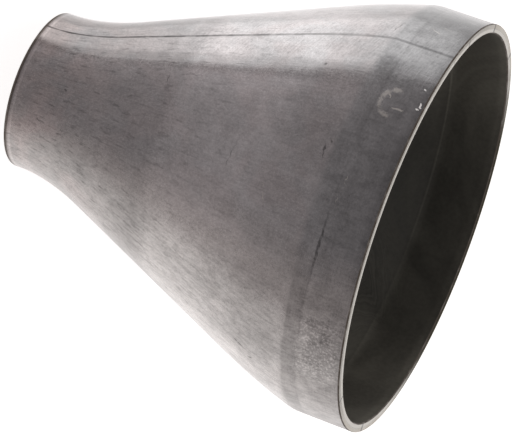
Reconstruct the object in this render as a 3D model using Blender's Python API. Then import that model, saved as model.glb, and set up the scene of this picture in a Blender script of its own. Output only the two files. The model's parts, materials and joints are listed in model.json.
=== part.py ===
"""Eccentric butt-weld reducer, 114.3 x 42.4 mm, 102 mm long, 2.6 mm wall, rolled and welded from plate.

The wall is swept along a pipe axis (local X, from the large end to the small end). Each cross-section
is a circle whose top touches one straight line, so the reducer has a flat side (local +Z) parallel to
the axis and a steep side opposite it. The lengthwise seam weld is a piece of its own.

The reducer lies as it comes to rest: on its steep side, flat side up, small end lowest.
World: metres, +Z up, origin under the middle of the object at the height of its lowest point.
"""
import math

import bmesh
import bpy
from mathutils import Matrix, Vector

MM = 0.001

# Driving dimensions
LARGE_OD = 114.3 * MM
SMALL_OD = 42.4 * MM
LENGTH = 102.0 * MM
WALL = 2.6 * MM

# Profile along the axis: a parallel large end, a knuckle, a cone and a long fillet to the small end
KNUCKLE_X = 16.4 * MM
CONE_START_X = 37.0 * MM
CONE_END_X = 82.0 * MM
SMALL_PARALLEL_X = 101.0 * MM
KNUCKLE_SLOPE = 0.30        # radius lost per unit of length, just after the knuckle's crease

# Seam weld: angle from the flat side's middle line towards -Y, and its width along the wall
SEAM_ANGLE = math.radians(48.0)
SEAM_WIDTH = 1.2 * MM
GAP = 0.3 * MM

# Facets
SEGMENTS = 96
LARGE_STATIONS = 2
KNUCKLE_STATIONS = 6
CONE_STATIONS = 3
FILLET_STATIONS = 6
SEAM_CLEAR_ANGLE = math.radians(4.0)

LARGE_R = LARGE_OD / 2
SMALL_R = SMALL_OD / 2

STEEL_COLOUR = (0.42, 0.40, 0.39, 1.0)
WELD_COLOUR = (0.27, 0.25, 0.24, 1.0)


def cone_slope():
    """Radius lost per unit of length on the straight cone, so that the ends have their two sizes."""
    knuckle = CONE_START_X - KNUCKLE_X
    straight = CONE_END_X - CONE_START_X
    fillet = SMALL_PARALLEL_X - CONE_END_X
    drop = LARGE_R - SMALL_R - KNUCKLE_SLOPE * knuckle / 2
    return drop / (knuckle / 2 + straight + fillet / 2)


def radius_lost(x):
    """Outer radius lost between the large end and x: the slope changes linearly in each blend."""
    slope = cone_slope()
    knuckle = min(max(x - KNUCKLE_X, 0.0), CONE_START_X - KNUCKLE_X)
    straight = min(max(x - CONE_START_X, 0.0), CONE_END_X - CONE_START_X)
    fillet = min(max(x - CONE_END_X, 0.0), SMALL_PARALLEL_X - CONE_END_X)
    knuckle_gain = (slope - KNUCKLE_SLOPE) / (CONE_START_X - KNUCKLE_X)
    fillet_loss = slope / (SMALL_PARALLEL_X - CONE_END_X)
    lost = KNUCKLE_SLOPE * knuckle + knuckle_gain * knuckle ** 2 / 2
    lost += slope * straight
    lost += slope * fillet - fillet_loss * fillet ** 2 / 2
    return lost


def outer_radius(x):
    return LARGE_R - radius_lost(x)


def stations():
    """Places along the axis where the wall has a cross-section."""
    marks = [0.0, KNUCKLE_X, CONE_START_X, CONE_END_X, SMALL_PARALLEL_X]
    counts = [LARGE_STATIONS, KNUCKLE_STATIONS, CONE_STATIONS, FILLET_STATIONS]
    places = []
    for start, end, count in zip(marks, marks[1:], counts):
        places += [start + (end - start) * i / count for i in range(count)]
    return places + [SMALL_PARALLEL_X, LENGTH]


def inner_radii(places):
    """Inner radius at each station: the wall keeps its thickness on the flat and on the steep side."""
    radii = []
    last = len(places) - 1
    for i, x in enumerate(places):
        before = places[max(i - 1, 0)]
        after = places[min(i + 1, last)]
        steep_slope = 2 * (outer_radius(before) - outer_radius(after)) / (after - before)
        if i in (0, last):
            steep_slope = 0.0
        steep_wall = WALL * math.hypot(1.0, steep_slope)
        radii.append(outer_radius(x) - (WALL + steep_wall) / 2)
    return radii


def circle_point(x, radius, top, angle):
    """A point on the circle of this radius whose highest point is at top; angle runs towards -Y."""
    return Vector((x, -radius * math.sin(angle), top - radius + radius * math.cos(angle)))


def wall_mesh(name, angles_at):
    """A closed stretch of wall: at each station it spans the angles that angles_at(outer radius) gives."""
    mesh = bpy.data.meshes.new(name)
    bm = bmesh.new()
    places = stations()
    outer, inner = [], []
    for x, inner_radius in zip(places, inner_radii(places)):
        radius = outer_radius(x)
        angles = angles_at(radius)
        outer.append([bm.verts.new(circle_point(x, radius, LARGE_R, a)) for a in angles])
        inner.append([bm.verts.new(circle_point(x, inner_radius, LARGE_R - WALL, a)) for a in angles])
    last_column = len(outer[0]) - 1
    for i in range(len(places) - 1):
        for k in range(last_column):
            bm.faces.new((outer[i][k], outer[i][k + 1], outer[i + 1][k + 1], outer[i + 1][k]))
            bm.faces.new((inner[i][k], inner[i + 1][k], inner[i + 1][k + 1], inner[i][k + 1]))
        bm.faces.new((outer[i][0], outer[i + 1][0], inner[i + 1][0], inner[i][0]))
        bm.faces.new((outer[i][-1], inner[i][-1], inner[i + 1][-1], outer[i + 1][-1]))
    for k in range(last_column):
        bm.faces.new((outer[0][k], inner[0][k], inner[0][k + 1], outer[0][k + 1]))
        bm.faces.new((outer[-1][k], outer[-1][k + 1], inner[-1][k + 1], inner[-1][k]))
    bmesh.ops.recalc_face_normals(bm, faces=bm.faces[:])
    bm.to_mesh(mesh)
    bm.free()
    mesh.shade_smooth()
    mesh.set_sharp_from_angle(angle=math.radians(35.0))
    return mesh


def shell_angles(radius):
    """All round the pipe except for the seam's slot. A facet, not a corner, lies on the steep side."""
    half_slot = (SEAM_WIDTH / 2 + GAP) / radius
    step = math.tau / SEGMENTS
    free = []
    for k in range(SEGMENTS):
        turn = (step * (k + 0.5) - SEAM_ANGLE) % math.tau
        if SEAM_CLEAR_ANGLE < turn < math.tau - SEAM_CLEAR_ANGLE:
            free.append(turn)
    turns = [half_slot] + sorted(free) + [math.tau - half_slot]
    return [SEAM_ANGLE + turn for turn in turns]


def seam_angles(radius):
    half_width = SEAM_WIDTH / 2 / radius
    return [SEAM_ANGLE - half_width, SEAM_ANGLE + half_width]


def steel(name, colour, roughness):
    material = bpy.data.materials.new(name)
    material.use_nodes = True
    shader = material.node_tree.nodes["Principled BSDF"]
    shader.inputs["Base Color"].default_value = colour
    shader.inputs["Metallic"].default_value = 1.0
    shader.inputs["Roughness"].default_value = roughness
    material.diffuse_color = colour
    return material


def add_piece(name, mesh, material, parent):
    piece = bpy.data.objects.new(name, mesh)
    mesh.materials.append(material)
    bpy.context.scene.collection.objects.link(piece)
    piece.parent = parent
    return piece


def lying_tilt():
    """Nose-down angle at which the steep side touches the ground at the knuckle and at the small end."""
    facet = math.cos(math.pi / SEGMENTS)
    heights = [(x, LARGE_R - outer_radius(x) * (1 + facet)) for x in stations()]
    nose_x, nose_height = heights[-1]
    return max(math.atan2(nose_height - height, nose_x - x) for x, height in heights[:-1])


def lay_down(pose, pieces):
    """Turn the pipe axis nose-down and put the origin under the middle of the object."""
    turn = Matrix.Rotation(lying_tilt(), 4, "Y")
    points = [turn @ vertex.co for piece in pieces for vertex in piece.data.vertices]
    lows = [min(point[axis] for point in points) for axis in range(3)]
    highs = [max(point[axis] for point in points) for axis in range(3)]
    pose.rotation_euler = (0.0, lying_tilt(), 0.0)
    pose.location = (-(lows[0] + highs[0]) / 2, -(lows[1] + highs[1]) / 2, -lows[2])


def build():
    for old in list(bpy.data.objects):
        bpy.data.objects.remove(old, do_unlink=True)
    pose = bpy.data.objects.new("pipe_axis", None)
    bpy.context.scene.collection.objects.link(pose)
    shell = add_piece("reducer_shell", wall_mesh("reducer_shell", shell_angles),
                      steel("stainless_steel", STEEL_COLOUR, 0.38), pose)
    seam = add_piece("seam_weld", wall_mesh("seam_weld", seam_angles),
                     steel("weld_metal", WELD_COLOUR, 0.45), pose)
    lay_down(pose, [shell, seam])


build()
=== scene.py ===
"""Looks for the eccentric butt-weld reducer: fine walls, mill-finished steel, camera, floor and light.

Everything is placed in the pipe frame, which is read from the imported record's two end faces: X runs
along the pipe axis from the large end to the small end, Z points to the flat side, Y lies across.
Angles round the pipe start at the flat side's middle line and run towards -Y.
"""

import json
import math

import bpy
from mathutils import Matrix, Vector


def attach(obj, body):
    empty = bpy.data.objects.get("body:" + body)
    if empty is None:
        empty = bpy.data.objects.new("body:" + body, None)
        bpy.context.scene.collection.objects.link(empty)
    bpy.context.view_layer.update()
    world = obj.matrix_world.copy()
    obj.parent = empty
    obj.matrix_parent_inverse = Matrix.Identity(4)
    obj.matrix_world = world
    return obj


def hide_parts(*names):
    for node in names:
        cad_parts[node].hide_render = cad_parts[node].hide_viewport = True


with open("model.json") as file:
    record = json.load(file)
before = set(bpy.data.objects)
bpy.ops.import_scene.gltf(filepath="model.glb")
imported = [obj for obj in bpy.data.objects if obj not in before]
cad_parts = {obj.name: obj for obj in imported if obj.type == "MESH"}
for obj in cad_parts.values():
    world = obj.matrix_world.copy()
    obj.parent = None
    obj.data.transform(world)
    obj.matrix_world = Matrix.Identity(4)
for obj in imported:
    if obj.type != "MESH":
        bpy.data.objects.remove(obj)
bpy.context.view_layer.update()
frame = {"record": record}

MM = 0.001

# ---------------------------------------------------------------------------------------------
# Sizes
# ---------------------------------------------------------------------------------------------
# The wall, as the CAD model has it
LARGE_R = 57.15 * MM
SMALL_R = 21.2 * MM
WALL = 2.6 * MM
KNUCKLE_X = 16.4 * MM
CONE_START_X = 37.0 * MM
CONE_END_X = 82.0 * MM
SMALL_PARALLEL_X = 101.0 * MM
KNUCKLE_SLOPE = 0.30
SEAM_ANGLE = math.radians(48.0)
SEAM_WIDTH = 1.2 * MM
FACET_INSET = math.cos(math.pi / 96)    # keeps round walls inside the CAD model's 96 facets

# Finer shapes, which the CAD model leaves out
KNUCKLE_ROUND = 3.0 * MM
EDGE_BREAK = 0.45 * MM       # outer edges, along the axis
EDGE_DEPTH = 0.12 * MM       # outer edges, off the radius
INNER_BREAK = 0.3 * MM
SEAM_DIP = 0.045 * MM        # where the metal beside the weld was ground
SEAM_DIP_REACH = 2.4 * MM
RING_X = 12.2 * MM           # a line turned round the band
RING_DEPTH = 0.035 * MM
RING_REACH = 0.5 * MM
WAVE_DEPTH = 0.03 * MM
GRAIN_DEPTH = 0.010 * MM     # the outer skin's texture
SCALE_DEPTH = 0.02 * MM      # the texture of the bore, the end faces and their edges

# Mesh density
PROFILE_STEPS = 2040
COLUMNS = 360
SEAM_COLUMNS = 6
SKIN_ROWS = 132
BORE_ROWS = 72
SHARP_ANGLE = math.radians(34.0)

# Material slots of the two pieces
SKIN, BORE, LAND, RIM_EDGE = range(4)

# ---------------------------------------------------------------------------------------------
# Colours and marks
# ---------------------------------------------------------------------------------------------
STEEL_WARM = (0.518, 0.498, 0.500, 1.0)
STEEL_COOL = (0.505, 0.500, 0.505, 1.0)
# painted warm reflection on the dull lower flank
STEEL_WARM_REFLECTION = (0.520, 0.495, 0.480, 1.0)
STEEL_BAND = (0.495, 0.500, 0.508, 1.0)
STEEL_TINT = (0.535, 0.468, 0.455, 1.0)
SCUFF = (0.62, 0.60, 0.56, 1.0)
CHIP = (0.95, 0.95, 0.93, 1.0)
END_DARK_LINE = (0.085, 0.070, 0.060, 1.0)
SCALE = (0.062, 0.060, 0.050, 1.0)
FACE_INNER = (0.430, 0.412, 0.370, 1.0)
FACE_OUTER = (0.400, 0.368, 0.310, 1.0)
FACE_STEEP_DARK = (0.052, 0.049, 0.034, 1.0)
FACE_LIP = (0.42, 0.41, 0.33, 1.0)
EDGE_GRIME = (0.115, 0.098, 0.082, 1.0)
EDGE_WORN = (0.24, 0.22, 0.20, 1.0)

# Handling marks: angle (degrees), place along the axis, length, width (mm), heading (degrees)
DARK_STROKES = (
    (9.5, 19.0, 5.2, 0.50, 78.0),
    (12.4, 18.2, 1.8, 0.60, 60.0),
    (54.0, 17.6, 7.0, 0.35, 100.0),
    (-13.0, 12.2, 19.0, 0.95, 90.0),
    (34.6, 28.6, 1.0, 0.80, 0.0),
    (-57.0, 29.0, 4.6, 1.00, 14.0),
    (-60.0, 26.0, 2.4, 0.70, -30.0),
    (1.0, 41.0, 9.0, 0.28, 96.0),
    (-21.0, 92.0, 3.4, 0.40, 8.0),
    (-23.0, 86.5, 2.0, 0.45, -20.0),
    (4.0, 88.0, 1.2, 0.60, 40.0),
    (-30.0, 66.0, 6.0, 0.35, 14.0),
    (22.0, 64.0, 3.0, 0.35, 82.0),
    (-40.0, 48.0, 5.0, 0.30, 20.0),
)
LIGHT_STROKES = (
    (25.8, 6.2, 3.8, 0.60, -6.0),
    (29.0, 9.6, 2.4, 0.50, 60.0),
    (4.0, 11.0, 3.2, 0.40, 96.0),
    (-1.0, 11.6, 2.4, 0.30, 84.0),
    (57.0, 9.0, 5.0, 0.35, 30.0),
    (60.0, 6.5, 3.0, 0.50, 20.0),
    (-6.0, 30.0, 7.0, 0.25, 70.0),
)
CHIPS = (
    (34.0, 2.2, 0.9, 0.50, 20.0),
    (28.9, 1.3, 2.2, 0.60, 70.0),
    (27.6, 1.7, 1.2, 0.45, 10.0),
)
SMUDGE = (36.0, 13.4, 13.0, 6.5, 80.0)

# Scuffed loop: angle (degrees), place, half size along and half size round (mm), line width (share)
SCUFF_LOOP = (27.2, 8.2, 3.0, 3.9, 0.27)

# Nicks in the end faces: angle and half width (degrees)
NICKS = ((48.0, 0.5), (59.0, 0.35), (82.0, 0.6), (111.5, 0.55), (-96.0, 0.6), (-60.0, 0.35))

SWIRL_CENTRE = (0.030, 0.020, -0.045)    # in the bore, in the pipe frame
GRINDING_RADIUS = 45.0 * MM              # the pipe's rough radius where the weld was ground

# Specular levels of the dull finishes, where a clean surface has 0.5
BORE_SPECULAR = 0.18
FACE_SPECULAR = 0.0
EDGE_SPECULAR = 0.05

# ---------------------------------------------------------------------------------------------
# Camera, floor and light
# ---------------------------------------------------------------------------------------------
# The camera, in the pipe frame
CAMERA_PLACE = Vector((-0.15863, 0.00703, 0.70159))
CAMERA_FORWARD = Vector((0.27913, 0.00752, -0.96022))
CAMERA_UP = Vector((0.32963, -0.93996, 0.08846))
CAMERA_LENS = 189.28
SENSOR_WIDTH = 36.0

FLOOR_HALF = 9.0
FLOOR_COLOUR = (0.86, 0.86, 0.85, 1.0)
FLOOR_ROUGHNESS = 0.9
FLOOR_GLOW = (1.0, 0.985, 0.98, 1.0)
FLOOR_GLOW_FADE = (0.08, 0.26, 0.80, 0.42)    # from and to Y, from and to strength

SKY_COLOUR = (1.0, 0.915, 0.92, 1.0)
SKY_FADE = (0.08, 0.48, 0.46, 0.31)           # from and to height, from and to strength

SOFTBOX_PLACE = Vector((-0.6, 0.0, 1.6))
SOFTBOX_SIZE = (1.2, 1.6)
SOFTBOX_POWER = 7.0

# ---------------------------------------------------------------------------------------------
# The pipe frame
# ---------------------------------------------------------------------------------------------
MOUNTS = {mount["name"]: mount for mount in frame["record"]["mounts"]}
LARGE_FACE = MOUNTS["large_end_face"]
SMALL_FACE = MOUNTS["small_end_face"]
AXIS = Vector(SMALL_FACE["axis"]).normalized()
FLAT = Vector((-AXIS.z, 0.0, AXIS.x))
ACROSS = FLAT.cross(AXIS)
LENGTH = (Vector(SMALL_FACE["pos_m"]) - Vector(LARGE_FACE["pos_m"])).dot(AXIS)
LARGE_CENTRE = Vector(LARGE_FACE["pos_m"]) - FLAT * (LARGE_R - WALL / 2)
PIPE = Matrix((AXIS, ACROSS, FLAT)).transposed().to_4x4()
PIPE.translation = LARGE_CENTRE


# ---------------------------------------------------------------------------------------------
# The wall's profile
# ---------------------------------------------------------------------------------------------
def slope_at(x):
    """Radius lost per unit of length: none, a rounded crease, a blend, the cone, and the fillet."""
    knuckle = CONE_START_X - KNUCKLE_X
    fillet = SMALL_PARALLEL_X - CONE_END_X
    drop = LARGE_R - SMALL_R - KNUCKLE_SLOPE * knuckle / 2
    cone = drop / (knuckle / 2 + (CONE_END_X - CONE_START_X) + fillet / 2)
    if x < CONE_START_X:
        crease = min(max((x - KNUCKLE_X) / KNUCKLE_ROUND + 0.5, 0.0), 1.0)
        blend = max(x - KNUCKLE_X, 0.0) / knuckle
        return crease * (KNUCKLE_SLOPE + (cone - KNUCKLE_SLOPE) * blend)
    if x < CONE_END_X:
        return cone
    return cone * max(SMALL_PARALLEL_X - x, 0.0) / fillet


def summed_radii():
    """Outer radius at every step along the axis, summed up from the slope."""
    radii = [LARGE_R]
    for i in range(PROFILE_STEPS):
        radii.append(radii[-1] - slope_at((i + 0.5) * STEP) * STEP)
    return radii


STEP = LENGTH / PROFILE_STEPS
RADII = summed_radii()


def outer_radius(x):
    """The outer radius at x, read off between the steps."""
    place = min(max(x / STEP, 0.0), len(RADII) - 1.001)
    i = int(place)
    return RADII[i] + (RADII[i + 1] - RADII[i]) * (place - i)


def inner_radius(x):
    """The wall keeps its thickness on the flat side and on the steep side."""
    steep_wall = WALL * math.hypot(1.0, 2 * slope_at(x))
    return outer_radius(x) - (WALL + steep_wall) / 2


def turn_of(angle):
    """The share of a turn from the seam to this angle in degrees."""
    return (math.radians(angle) - SEAM_ANGLE) % math.tau / math.tau


# ---------------------------------------------------------------------------------------------
# Wall meshes
# ---------------------------------------------------------------------------------------------
def bump_shape(distance, half_width):
    """A smooth hill of height 1 that ends at half_width."""
    t = min(abs(distance) / half_width, 1.0)
    return (1.0 - t * t) ** 2


def relief(x, turn, radius):
    """How far the outer skin lies under its ideal round shape; turn is counted from the seam."""
    from_seam = min(turn, math.tau - turn) * radius
    dip = SEAM_DIP * bump_shape(from_seam, SEAM_DIP_REACH)
    ring = RING_DEPTH * bump_shape(x - RING_X, RING_REACH)
    wave = math.sin(3 * turn + 31 * x) + math.sin(5 * turn - 57 * x + 1.3) + math.sin(2 * turn + 83 * x + 0.6)
    return dip + ring + WAVE_DEPTH * (1.0 + wave / 3)


def wall_rows():
    """The wall's section, once round: (x, radius, height of the circle's centre, v, slot of the next band).

    v is the share of the length on the skin, 1.01 to 1.03 on the small end face, 2.05 less that share
    in the bore, and 2.05 to 2.07 on the large end face.
    """
    rows = []

    def outer(x, shrink, v, slot):
        radius = outer_radius(x)
        rows.append((x, radius * FACET_INSET - shrink, LARGE_R - radius, v, slot))

    def inner(x, grow, v, slot):
        radius = inner_radius(x)
        rows.append((x, radius + grow, LARGE_R - WALL - radius, v, slot))

    outer(0.0, EDGE_DEPTH, -0.01, RIM_EDGE)
    outer(EDGE_BREAK * 0.4, EDGE_DEPTH * 0.3, 0.0, RIM_EDGE)
    outer(EDGE_BREAK, 0.0, 0.004, SKIN)
    for i in range(1, SKIN_ROWS):
        x = EDGE_BREAK + (LENGTH - 2 * EDGE_BREAK) * i / SKIN_ROWS
        outer(x, 0.0, x / LENGTH, SKIN)
    outer(LENGTH - EDGE_BREAK, 0.0, 0.996, RIM_EDGE)
    outer(LENGTH - EDGE_BREAK * 0.4, EDGE_DEPTH * 0.3, 1.0, RIM_EDGE)
    outer(LENGTH, EDGE_DEPTH, 1.01, LAND)
    inner(LENGTH, INNER_BREAK, 1.03, RIM_EDGE)
    inner(LENGTH - INNER_BREAK, 0.0, 1.035, BORE)
    for i in range(1, BORE_ROWS):
        x = LENGTH - INNER_BREAK - (LENGTH - 2 * INNER_BREAK) * i / BORE_ROWS
        inner(x, 0.0, 2.05 - x / LENGTH, BORE)
    inner(INNER_BREAK, 0.0, 2.045, RIM_EDGE)
    inner(0.0, INNER_BREAK, 2.05, LAND)
    return rows


def wall_points(rows, turns_at):
    """The points of each row in turn, with the relief taken off the skin."""
    points = []
    for x, radius, centre, v, slot in rows:
        for turn in turns_at(radius):
            r = radius
            if slot == SKIN:
                r -= relief(x, turn % math.tau, radius)
            angle = SEAM_ANGLE + turn
            points.append(PIPE @ Vector((x, -r * math.sin(angle), centre + r * math.cos(angle))))
    return points


def wall_faces(rows, turns_at, u_of):
    """Faces, their slots, and the (u, v) of their corners: the bands, then the two cut sides."""
    faces, slots, uvs = [], [], []
    count = len(rows)
    width = len(turns_at(LARGE_R))
    us = [[u_of(turn, radius) for turn in turns_at(radius)] for x, radius, centre, v, slot in rows]
    for i in range(count):
        j = (i + 1) % count
        v0 = rows[i][3]
        v1 = rows[j][3] if j else 2.07
        for k in range(width - 1):
            faces.append((i * width + k, i * width + k + 1, j * width + k + 1, j * width + k))
            slots.append(rows[i][4])
            uvs += [(us[i][k], v0), (us[i][k + 1], v0), (us[j][k + 1], v1), (us[j][k], v1)]
    for k, order in ((0, 1), (width - 1, -1)):
        loop = [i * width + k for i in range(count)][::order]
        faces.append(tuple(loop))
        slots.append(BORE)
        uvs += [(0.0, rows[i // width][3]) for i in loop]
    return faces, slots, uvs


def wall_piece(name, turns_at, u_of, materials):
    """A closed stretch of the wall. Its section is swept over the angles that turns_at(radius) gives."""
    rows = wall_rows()
    faces, slots, uvs = wall_faces(rows, turns_at, u_of)
    mesh = bpy.data.meshes.new(name)
    mesh.from_pydata(wall_points(rows, turns_at), [], faces)
    layer = mesh.uv_layers.new(name="pipe")
    for i, uv in enumerate(uvs):
        layer.data[i].uv = uv
    for material in materials:
        mesh.materials.append(material)
    for i, slot in enumerate(slots):
        mesh.polygons[i].material_index = slot
    mesh.shade_smooth()
    mesh.set_sharp_from_angle(angle=SHARP_ANGLE)
    piece = bpy.data.objects.new(name, mesh)
    bpy.context.scene.collection.objects.link(piece)
    return piece


def shell_turns(radius):
    """Angles from the seam, from one side of the weld right round to the other."""
    start = SEAM_WIDTH / 2 / radius
    return [start + (math.tau - 2 * start) * k / COLUMNS for k in range(COLUMNS + 1)]


def seam_turns(radius):
    """Angles from the seam, across the weld."""
    half = SEAM_WIDTH / 2 / radius
    return [half * (2 * k / SEAM_COLUMNS - 1) for k in range(SEAM_COLUMNS + 1)]


# ---------------------------------------------------------------------------------------------
# Shader nodes
# ---------------------------------------------------------------------------------------------
def smooth_step(tree, value, low, high, to_low, to_high):
    """From to_low to to_high as value goes from low to high, and level outside."""
    node = tree.nodes.new("ShaderNodeMapRange")
    node.interpolation_type = "SMOOTHSTEP"
    tree.links.new(value, node.inputs["Value"])
    node.inputs["From Min"].default_value = low
    node.inputs["From Max"].default_value = high
    node.inputs["To Min"].default_value = to_low
    node.inputs["To Max"].default_value = to_high
    return node.outputs[0]


class Nodes:
    """A material, and short ways to add the shader nodes that the steel finishes share.

    place, x and y are in the pipe frame. u is the share of a turn from the seam on the shell, and runs
    from -1 to 1 across the weld on the weld's own piece. v follows the wall's section.
    """

    def __init__(self, name):
        self.material = bpy.data.materials.new(name)
        self.material.use_nodes = True
        self.tree = self.material.node_tree
        self.shader = self.tree.nodes["Principled BSDF"]
        mapping = self.add("ShaderNodeMapping")
        inverse = PIPE.inverted()
        mapping.inputs["Rotation"].default_value = inverse.to_euler()
        mapping.inputs["Location"].default_value = inverse.translation
        self.link(self.add("ShaderNodeTexCoord").outputs["Object"], mapping.inputs["Vector"])
        self.place = mapping.outputs[0]
        self.x, self.y = self.split(self.place)
        uv = self.add("ShaderNodeUVMap")
        uv.uv_map = "pipe"
        self.u, self.v = self.split(uv.outputs[0])

    def add(self, kind):
        return self.tree.nodes.new(kind)

    def link(self, source, target):
        """Joins an output to an input, or sets the input to a number or a tuple."""
        if isinstance(source, (int, float)):
            target.default_value = source
        elif isinstance(source, tuple):
            target.default_value = source[:len(target.default_value)]
        else:
            self.tree.links.new(source, target)

    def split(self, vector):
        """The vector's first two parts."""
        node = self.add("ShaderNodeSeparateXYZ")
        self.link(vector, node.inputs[0])
        return node.outputs[0], node.outputs[1]

    def join(self, x, y=0.0, z=0.0):
        node = self.add("ShaderNodeCombineXYZ")
        for value, socket in zip((x, y, z), node.inputs):
            self.link(value, socket)
        return node.outputs[0]

    def math(self, operation, a, b=0.0):
        node = self.add("ShaderNodeMath")
        node.operation = operation
        self.link(a, node.inputs[0])
        self.link(b, node.inputs[1])
        return node.outputs[0]

    def chain(self, operation, values):
        total = values[0]
        for value in values[1:]:
            total = self.math(operation, total, value)
        return total

    def sum(self, *values):
        return self.chain("ADD", values)

    def product(self, *values):
        return self.chain("MULTIPLY", values)

    def most(self, values):
        return self.chain("MAXIMUM", values)

    def distance(self, a, b):
        """How far apart two numbers are."""
        return self.math("ABSOLUTE", self.math("SUBTRACT", a, b))

    def about_zero(self, noise, size=1.0):
        """A noise of 0 to 1, moved to swing about zero, times size."""
        return self.product(self.math("SUBTRACT", noise, 0.5), size)

    def noise(self, scale, detail=2.0, vector=None, roughness=0.5, distortion=0.0):
        node = self.add("ShaderNodeTexNoise")
        node.inputs["Scale"].default_value = scale
        node.inputs["Detail"].default_value = detail
        node.inputs["Roughness"].default_value = roughness
        node.inputs["Distortion"].default_value = distortion
        self.link(vector or self.place, node.inputs["Vector"])
        return node.outputs[0]

    def skin_noise(self, per_turn, per_metre, seed, detail, roughness=0.5):
        """Noise laid on the skin, with its own fineness round the pipe and along it."""
        place = self.join(self.product(self.u, per_turn), self.product(self.x, per_metre), seed)
        return self.noise(1.0, detail, place, roughness)

    def span(self, value, low, high, to_low=0.0, to_high=1.0):
        """A smooth step of value from low to high."""
        return smooth_step(self.tree, value, low, high, to_low, to_high)

    def between(self, value, low, high, soft):
        """1 from low to high, fading to 0 over soft outside."""
        return self.product(self.span(value, low - soft, low), self.span(value, high, high + soft, 1.0, 0.0))

    def mix(self, share, a, b):
        """Colour a where share is 0 and colour b where it is 1."""
        node = self.add("ShaderNodeMix")
        node.data_type = "RGBA"
        self.link(share, node.inputs["Factor"])
        self.link(a, node.inputs["A"])
        self.link(b, node.inputs["B"])
        return node.outputs["Result"]

    def times(self, colour, factor):
        """A colour times a number that varies over the surface."""
        node = self.add("ShaderNodeVectorMath")
        node.operation = "SCALE"
        self.link(colour, node.inputs[0])
        self.link(factor, node.inputs["Scale"])
        return node.outputs[0]

    def bump(self, height, depth):
        node = self.add("ShaderNodeBump")
        node.inputs["Strength"].default_value = 1.0
        node.inputs["Distance"].default_value = depth
        self.link(height, node.inputs["Height"])
        return node.outputs[0]

    def offset(self, angle, x):
        """Metres along the wall and round it from the place at this angle and this many mm along."""
        along = self.math("SUBTRACT", self.x, x * MM)
        turned = self.math("SUBTRACT", self.u, turn_of(angle))
        return along, self.product(turned, math.tau * outer_radius(x * MM))

    def stroke(self, angle, x, length, width, heading, rough):
        """A ragged stroke on the skin, in mm; heading is its angle from the pipe axis in degrees."""
        along, round_it = self.offset(angle, x)
        c, s = math.cos(math.radians(heading)), math.sin(math.radians(heading))
        lengthwise = self.sum(self.product(along, c), self.product(round_it, s))
        sideways = self.sum(self.product(along, -s), self.product(round_it, c), rough)
        p = self.math("POWER", self.product(lengthwise, 2.0 / (length * MM)), 2.0)
        q = self.math("POWER", self.product(sideways, 2.0 / (width * MM)), 2.0)
        return self.span(self.sum(p, q), 1.0, 0.3)

    def loop(self, angle, x, half_x, half_round, width, rough):
        """A ragged closed loop on the skin, in mm; width is a share of its size."""
        along, round_it = self.offset(angle, x)
        p = self.math("POWER", self.product(self.sum(along, rough), 1.0 / (half_x * MM)), 2.0)
        q = self.math("POWER", self.product(self.sum(round_it, rough), 1.0 / (half_round * MM)), 2.0)
        away = self.distance(self.math("SQRT", self.sum(p, q)), 1.0)
        return self.span(away, width, width * 0.2)

    def finish(self, colour, roughness, normal, metallic=1.0):
        self.link(colour, self.shader.inputs["Base Color"])
        self.link(roughness, self.shader.inputs["Roughness"])
        self.link(normal, self.shader.inputs["Normal"])
        self.link(metallic, self.shader.inputs["Metallic"])
        return self.material


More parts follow.
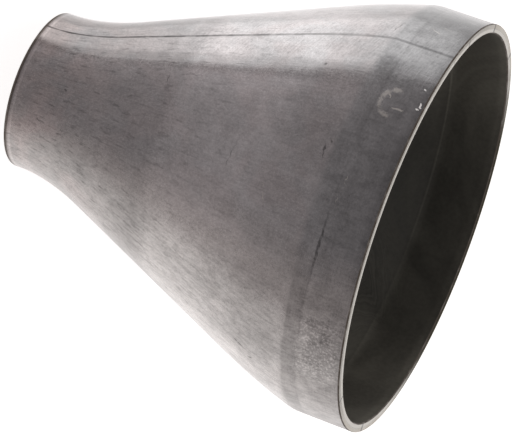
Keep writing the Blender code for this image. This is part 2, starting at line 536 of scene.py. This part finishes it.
# ---------------------------------------------------------------------------------------------
# Steel finishes
# ---------------------------------------------------------------------------------------------
class MillSteel(Nodes):
    """Outer skin: formed mill-finish steel, a duller turned band at the large end, handling marks."""

    def __init__(self, name, weld_line=False):
        super().__init__(name)
        self.across_weld = self.u
        if weld_line:
            self.u = self.product(self.u, SEAM_WIDTH / 2 / LARGE_R / math.tau)
        self.turn = self.math("SUBTRACT", self.math("FRACT", self.sum(self.u, 0.5)), 0.5)
        self.add_textures()
        self.add_zones()
        self.add_light_marks()
        tone = self.shaded(self.mottle())
        if weld_line:
            tone = self.product(tone, self.weld_shade())
        colour = self.marked(self.times(self.steel(), tone))
        self.finish(colour, self.roughness(), self.bump(self.fine_relief(), GRAIN_DEPTH))

    def add_textures(self):
        """Noises over the whole skin, then those laid along it, round it or slanting beside the weld."""
        self.sparkle = self.noise(3600.0, 1.0)
        self.grain = self.noise(1500.0, 2.0, roughness=0.65)
        self.blotches = self.noise(330.0, 3.0, roughness=0.6)
        self.clouds = self.noise(70.0, 4.0, roughness=0.6, distortion=0.5)
        self.broad = self.noise(24.0, 2.0)
        self.streaks = self.skin_noise(500.0, 60.0, 0.0, 3.0)
        self.dashes = self.skin_noise(210.0, 260.0, 7.0, 1.0)
        self.scores = self.skin_noise(330.0, 300.0, 5.0, 4.0, 0.72)
        self.turning = self.skin_noise(26.0, 3800.0, 3.0, 2.0)
        self.ragged = self.about_zero(self.noise(900.0, 2.0), 0.0012)
        round_it = self.product(self.turn, math.tau * GRINDING_RADIUS)
        slantwise = self.sum(self.product(round_it, 0.97), self.product(self.x, -0.26))
        crosswise = self.sum(self.product(round_it, 0.26), self.product(self.x, 0.97))
        grinding = self.join(self.product(slantwise, 300.0), self.product(crosswise, 2200.0))
        self.dressing = self.noise(1.0, 3.0, grinding, 0.7)

    def add_zones(self):
        """Where each finish lies, from 0 to 1. Limits round the pipe are shares of a turn from the seam."""
        self.wavy_x = self.sum(self.x, self.about_zero(self.clouds, 0.006))
        self.near_x = self.sum(self.x, self.about_zero(self.clouds, 0.0018))
        self.wavy_turn = self.sum(self.turn, self.about_zero(self.clouds, 0.03))
        self.band = self.span(self.near_x, 18.2 * MM, 15.6 * MM)
        self.small_end = self.span(self.x, 62.0 * MM, 96.0 * MM)
        self.dull = self.between(self.wavy_turn, -0.38, -0.21, 0.06)
        soiled_flank = self.between(self.wavy_turn, -0.37, -0.24, 0.05)
        self.soiled = self.most([soiled_flank, self.product(self.small_end, 0.4)])
        beside_weld = self.between(self.turn, -0.014, 0.014, 0.04)
        self.dressed = self.product(beside_weld, self.span(self.x, 76.0 * MM, 60.0 * MM))

    def add_light_marks(self):
        """Scuffs and chips that are paler than the steel, with the scuffs partly worn away."""
        worn = self.noise(420.0, 2.0)
        strokes = self.most([self.stroke(*mark, self.ragged) for mark in LIGHT_STROKES])
        strokes = self.product(strokes, self.span(worn, 0.38, 0.56, 0.05, 0.62))
        loop = self.product(self.loop(*SCUFF_LOOP, self.ragged), self.span(self.x, 6.4 * MM, 8.0 * MM))
        loop = self.product(loop, self.span(worn, 0.36, 0.54, 0.14, 0.58))
        self.light = self.most([strokes, loop])
        self.chips = self.most([self.stroke(*mark, self.ragged) for mark in CHIPS])

    def mottle(self):
        """The steel's uneven tone, about 1."""
        patches = self.noise(160.0, 3.0, distortion=0.6)
        specks = self.noise(1500.0, 2.0)
        scuffed_turns = self.between(self.turn, -0.27, -0.235, 0.02)
        scuffed = self.product(scuffed_turns, self.between(self.x, 2.5 * MM, 11.5 * MM, 2.5 * MM))
        dash_depth = self.span(self.x, 20.0 * MM, 80.0 * MM, 0.25, 1.0)
        return self.sum(
            1.0,
            self.span(self.streaks, 0.3, 0.7, -0.045, 0.045),
            self.span(self.sparkle, 0.3, 0.7, -0.085, 0.085),
            self.span(self.grain, 0.3, 0.7, -0.075, 0.075),
            self.span(self.blotches, 0.35, 0.65, -0.05, 0.045),
            self.span(self.clouds, 0.3, 0.7, -0.10, 0.09),
            self.span(self.broad, 0.35, 0.65, -0.05, 0.05),
            self.product(self.soiled, self.span(self.scores, 0.40, 0.62, 0.05, -0.17)),
            self.product(self.dressed, self.span(self.dressing, 0.32, 0.62, -0.11, 0.07)),
            self.product(self.band, self.span(patches, 0.38, 0.60, -0.10, 0.05)),
            self.product(self.band, self.span(self.turning, 0.3, 0.7, -0.05, 0.04)),
            self.product(scuffed, self.span(specks, 0.50, 0.64, -0.03, 0.34)),
            self.product(self.span(self.dashes, 0.59, 0.70, 0.0, -0.22), dash_depth),
        )

    def shaded(self, tone):
        """The tone times a factor for each zone, line and mark; some of the zones are painted shade."""
        not_dull = self.span(self.dull, 0.0, 1.0, 1.0, 0.45)
        # Painted shade on the top side just past the seam, darker still on the band
        shaded_past_seam = self.between(self.wavy_turn, 0.038, 0.14, 0.014)
        # Painted shade: dims the highlight's zone towards the small end
        highlight_dimming = self.span(self.wavy_x, 65.5 * MM, 68.5 * MM)
        # Painted shade along the lower flank just before the knuckle
        knuckle_shade = self.between(self.near_x, 12.6 * MM, 16.3 * MM, 0.5 * MM)
        # Painted shade on the lower flank's reflection, past the knuckle
        flank = self.between(self.wavy_turn, -0.285, -0.250, 0.035)
        # Painted shade that trims the highlight along its lower edge
        highlight_edge_shade = self.between(self.turn, -0.050, -0.037, 0.009)
        to_rim = self.sum(
            self.span(self.x, 15.0 * MM, 2.0 * MM, 0.0, 0.20),
            self.span(self.x, 3.4 * MM, 0.3 * MM, 0.0, 0.20),
        )
        strokes = self.most([self.stroke(*mark, self.ragged) for mark in DARK_STROKES])
        patchy = self.span(self.noise(750.0, 2.0), 0.40, 0.56, 0.35, 1.0)
        for where, factor in (
            (self.product(self.band, not_dull), 0.80),
            (self.span(self.wavy_x, 36.0 * MM, 17.0 * MM), 0.90),                 # towards the large end
            (self.span(self.wavy_x, 59.5 * MM, 61.8 * MM), 0.89),                 # towards the small end
            (self.between(self.wavy_x, 35.0 * MM, 57.0 * MM, 7.0 * MM), 1.15),    # a pale ring
            # painted shade: the highlight dimmed towards the small end
            (self.product(highlight_dimming, self.between(self.turn, -0.04, 0.14, 0.01)), 0.83),
            # painted shade on the top side past the seam, and on the band there
            (shaded_past_seam, 0.73),
            (self.product(shaded_past_seam, self.band), 0.90),
            # painted shade on the lower flank before the knuckle
            (self.product(knuckle_shade, self.between(self.turn, -0.34, -0.20, 0.03)), 0.84),
            (self.stroke(*SMUDGE, self.product(self.ragged, 6.0)), 0.80),
            (self.product(to_rim, not_dull), 0.0),
            (self.span(self.distance(self.x, RING_X), 0.45 * MM, 0.1 * MM), 0.90),     # the turned line
            # painted shade on the lower flank's reflection
            (self.product(flank, self.span(self.x, 17.0 * MM, 21.0 * MM)), 0.82),
            # painted shade along the highlight's lower edge
            (self.product(highlight_edge_shade, self.span(self.x, 14.0 * MM, 20.0 * MM)), 0.80),
            (self.product(strokes, patchy), 0.45),
            (self.between(self.x, 100.2 * MM, 100.6 * MM, 0.2 * MM), 1.22),          # a lighter line near the small end
        ):
            tone = self.product(tone, self.sum(1.0, self.product(where, factor - 1.0)))
        return tone

    def steel(self):
        """The steel's hue, with the band bluer, the small end redder, and the dull flank browner as a painted
        warm reflection.
        """
        hue = self.span(self.noise(85.0, 2.0, distortion=0.8), 0.36, 0.62)
        clean = self.span(self.dull, 0.0, 1.0, 1.0, 0.0)
        tinted = self.product(self.small_end, self.span(self.clouds, 0.35, 0.65), 0.7)
        colour = self.mix(hue, STEEL_COOL, STEEL_WARM)
        # Painted reflection: a warm tint on the dull lower flank
        colour = self.mix(self.product(self.dull, 0.8), colour, STEEL_WARM_REFLECTION)
        colour = self.mix(self.product(self.band, clean), colour, STEEL_BAND)
        return self.mix(tinted, colour, STEEL_TINT)

    def weld_shade(self):
        """The weld's dark core, which wanders and is frayed by the grinding."""
        wander = self.about_zero(self.noise(1.0, 3.0, self.join(self.product(self.x, 120.0), 4.0)), 0.5)
        fray = self.product(self.dressed, self.about_zero(self.dressing), 0.9)
        away = self.math("ABSOLUTE", self.sum(self.across_weld, wander, fray))
        reach = self.span(self.x, 35.0 * MM, LENGTH, 1.3, 0.75)
        core = self.span(self.math("DIVIDE", away, reach), 1.0, 0.25)
        uneven = self.noise(1.0, 2.0, self.join(self.product(self.x, 300.0), 9.0))
        depth = self.product(
            self.span(self.x, 20.0 * MM, 75.0 * MM, 0.38, 0.70),
            self.span(uneven, 0.35, 0.6, 0.65, 1.1),
        )
        return self.math("SUBTRACT", 1.0, self.product(core, depth))

    def marked(self, colour):
        """The colour with its scuffs, chips and the dark line at the small end."""
        colour = self.mix(self.light, colour, SCUFF)
        colour = self.mix(self.chips, colour, CHIP)
        # a dark line just before the small end's edge
        return self.mix(self.span(self.x, 100.9 * MM, 101.4 * MM, 0.0, 0.85), colour, END_DARK_LINE)

    def roughness(self):
        """Smoothest on clean steel, rougher on the band, the dull flank and the marks."""
        return self.sum(
            self.span(self.grain, 0.3, 0.7, 0.12, 0.17),
            self.product(self.band, 0.05),
            self.product(self.dull, 0.13),
            self.product(self.light, 0.2),
            self.product(self.chips, 0.4),
            self.span(self.clouds, 0.3, 0.7, 0.03, -0.02),
        )

    def fine_relief(self):
        """The height of grain, streaks, turned and ground lines, with the dashes cut in."""
        return self.sum(
            self.product(self.grain, 0.6),
            self.product(self.streaks, 0.5),
            self.product(self.turning, self.band, 0.35),
            self.product(self.dressing, self.dressed, 0.8),
            self.product(self.span(self.dashes, 0.60, 0.72), -0.5),
        )


def bore_steel():
    """Inner skin: dull dark scale, swirled polish, painted shade past the land and a painted highlight at the
    knuckle.
    """
    n = Nodes("bore_steel")
    swirl = n.noise(26.0, 4.0, distortion=2.2)
    grain = n.noise(900.0, 2.0)
    # Painted shade: the cone part of the bore, past the land, is darker
    land = n.span(n.x, 16.8 * MM, 16.0 * MM)
    lip = n.span(n.x, 3.6 * MM, 1.0 * MM)
    # Painted highlight: a faint light line along the inner knuckle, on the upper half
    corner_highlight = n.product(n.between(n.x, 16.3 * MM, 16.5 * MM, 0.3 * MM), n.span(n.y, 14.0 * MM, -10.0 * MM))
    centre = n.add("ShaderNodeVectorMath")
    centre.operation = "DISTANCE"
    n.link(n.place, centre.inputs[0])
    centre.inputs[1].default_value = SWIRL_CENTRE
    away = centre.outputs["Value"]
    rings = n.noise(1.0, 2.0, n.join(n.product(n.sum(away, n.product(swirl, 0.022)), 900.0)))
    polished = n.product(n.span(away, 24.0 * MM, 8.0 * MM), n.span(rings, 0.35, 0.65, -0.02, 0.40))
    tone = n.product(
        n.sum(n.span(swirl, 0.35, 0.65, 0.82, 1.16), n.span(grain, 0.3, 0.7, -0.07, 0.07), polished),
        # painted shade on the cone part, past the land
        n.span(land, 0.0, 1.0, 0.72, 1.0),
        # painted highlight along the inner knuckle
        n.sum(1.0, n.product(corner_highlight, 0.45)),
        n.span(lip, 0.0, 1.0, 1.0, 1.3),
        n.span(n.math("ABSOLUTE", n.y), 20.0 * MM, 46.0 * MM, 0.9, 1.95),
    )
    n.shader.inputs["Specular IOR Level"].default_value = BORE_SPECULAR
    roughness = n.span(swirl, 0.3, 0.7, 0.56, 0.68)
    return n.finish(n.times(SCALE, tone), roughness, n.bump(grain, SCALE_DEPTH), metallic=0.0)


def turned_steel():
    """End faces: turned rings, browner outwards, nicked, and dark on the steep side up to a pale lip."""
    n = Nodes("turned_steel")
    rings = n.noise(1.0, 3.0, n.join(n.product(n.u, 30.0), n.product(n.v, 2400.0)), 0.7)
    patches = n.noise(260.0, 3.0)
    outwards = n.span(n.distance(n.v, 1.54), 0.51, 0.53)    # 0 to 1 outwards on both end faces
    wander = n.about_zero(n.noise(60.0, 2.0), 0.5)
    outer_part = n.span(n.sum(outwards, wander), 0.50, 0.66)
    hairline = n.span(n.distance(n.sum(outwards, n.product(wander, 0.6)), 0.48), 0.09, 0.02)
    flat_side = n.span(n.distance(n.math("FRACT", n.sum(n.u, 0.62)), 0.5), 0.24, 0.17)
    steep_side = n.between(n.sum(n.u, n.about_zero(patches, 0.03)), 0.29, 0.44, 0.12)
    nicks = []
    for angle, half in NICKS:
        away = n.distance(n.math("FRACT", n.sum(n.u, 0.5 - turn_of(angle))), 0.5)
        nicks.append(n.span(n.sum(away, n.product(patches, 0.0008)), 1.6 * half / 360.0, half / 360.0))
    tone = n.product(
        n.sum(n.span(rings, 0.3, 0.7, 0.86, 1.08), n.span(patches, 0.3, 0.7, -0.1, 0.08)),
        n.math("SUBTRACT", 1.0, n.product(outer_part, n.span(flat_side, 0.0, 1.0, 0.12, 0.48))),
        n.span(hairline, 0.0, 1.0, 1.0, 0.62),
        n.span(n.most(nicks), 0.0, 1.0, 1.0, 0.20),
    )
    steel = n.mix(outer_part, FACE_INNER, FACE_OUTER)
    steel = n.mix(steep_side, steel, FACE_STEEP_DARK)
    steel = n.mix(n.product(steep_side, n.span(outwards, 0.66, 0.92)), steel, FACE_LIP)
    n.shader.inputs["Specular IOR Level"].default_value = FACE_SPECULAR
    roughness = n.span(patches, 0.3, 0.7, 0.28, 0.40)
    metallic = n.span(steep_side, 0.0, 1.0, 1.0, 0.0)
    return n.finish(n.times(steel, tone), roughness, n.bump(rings, SCALE_DEPTH), metallic)


def worn_edge():
    """The broken edges of the end faces, dark where grime stays."""
    n = Nodes("worn_edge")
    patches = n.noise(300.0, 3.0)
    colour = n.mix(n.span(patches, 0.45, 0.75), EDGE_GRIME, EDGE_WORN)
    n.shader.inputs["Specular IOR Level"].default_value = EDGE_SPECULAR
    return n.finish(colour, n.span(patches, 0.3, 0.7, 0.6, 0.45), n.bump(patches, SCALE_DEPTH), metallic=0.0)


# ---------------------------------------------------------------------------------------------
# Camera, floor and light
# ---------------------------------------------------------------------------------------------
def add_camera():
    data = bpy.data.cameras.new("camera")
    data.sensor_width = SENSOR_WIDTH
    data.lens = CAMERA_LENS
    data.clip_start = 0.01
    data.clip_end = 60.0
    camera = bpy.data.objects.new("camera", data)
    back = -(PIPE.to_3x3() @ CAMERA_FORWARD).normalized()
    right = (PIPE.to_3x3() @ CAMERA_UP).cross(back).normalized()
    turn = Matrix((right, back.cross(right), back)).transposed().to_4x4()
    turn.translation = PIPE @ CAMERA_PLACE
    camera.matrix_world = turn
    bpy.context.scene.collection.objects.link(camera)
    bpy.context.scene.camera = camera


def floor_material():
    """A pale floor that glows a little, and less so towards +Y."""
    material = bpy.data.materials.new("pale_floor")
    material.use_nodes = True
    tree = material.node_tree
    shader = tree.nodes["Principled BSDF"]
    shader.inputs["Base Color"].default_value = FLOOR_COLOUR
    shader.inputs["Roughness"].default_value = FLOOR_ROUGHNESS
    shader.inputs["Emission Color"].default_value = FLOOR_GLOW
    place = tree.nodes.new("ShaderNodeSeparateXYZ")
    tree.links.new(tree.nodes.new("ShaderNodeNewGeometry").outputs["Position"], place.inputs[0])
    glow = smooth_step(tree, place.outputs["Y"], *FLOOR_GLOW_FADE)
    tree.links.new(glow, shader.inputs["Emission Strength"])
    return material


def add_floor():
    mesh = bpy.data.meshes.new("floor")
    corners = [(x * FLOOR_HALF, y * FLOOR_HALF, 0.0) for x, y in ((-1, -1), (1, -1), (1, 1), (-1, 1))]
    mesh.from_pydata(corners, [], [(0, 1, 2, 3)])
    mesh.materials.append(floor_material())
    floor = bpy.data.objects.new("floor", mesh)
    bpy.context.scene.collection.objects.link(floor)


def add_sky():
    """Soft light from all round, dimmer above than at the horizon."""
    world = bpy.data.worlds.new("studio")
    world.use_nodes = True
    tree = world.node_tree
    background = tree.nodes["Background"]
    background.inputs["Color"].default_value = SKY_COLOUR
    direction = tree.nodes.new("ShaderNodeSeparateXYZ")
    tree.links.new(tree.nodes.new("ShaderNodeTexCoord").outputs["Generated"], direction.inputs[0])
    strength = smooth_step(tree, direction.outputs["Z"], *SKY_FADE)
    tree.links.new(strength, background.inputs["Strength"])
    bpy.context.scene.world = world


def add_softbox():
    data = bpy.data.lights.new("soft_top", "AREA")
    data.shape = "RECTANGLE"
    data.size, data.size_y = SOFTBOX_SIZE
    data.energy = SOFTBOX_POWER
    lamp = bpy.data.objects.new("soft_top", data)
    lamp.location = SOFTBOX_PLACE
    lamp.rotation_euler = (-SOFTBOX_PLACE).to_track_quat("-Z", "Y").to_euler()
    bpy.context.scene.collection.objects.link(lamp)


# ---------------------------------------------------------------------------------------------
# The reducer
# ---------------------------------------------------------------------------------------------
shared_slots = [bore_steel(), turned_steel(), worn_edge()]

shell_slots = [MillSteel("mill_steel").material] + shared_slots
shell = wall_piece("shell_wall", shell_turns, lambda turn, radius: turn / math.tau, shell_slots)
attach(shell, "root")
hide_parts("reducer_shell")

seam_slots = [MillSteel("seam_steel", weld_line=True).material] + shared_slots
seam = wall_piece("seam_bead", seam_turns, lambda turn, radius: turn * radius * 2 / SEAM_WIDTH, seam_slots)
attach(seam, "root")
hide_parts("seam_weld")

add_camera()
add_floor()
add_sky()
add_softbox()
bpy.context.scene.view_settings.view_transform = "Standard"
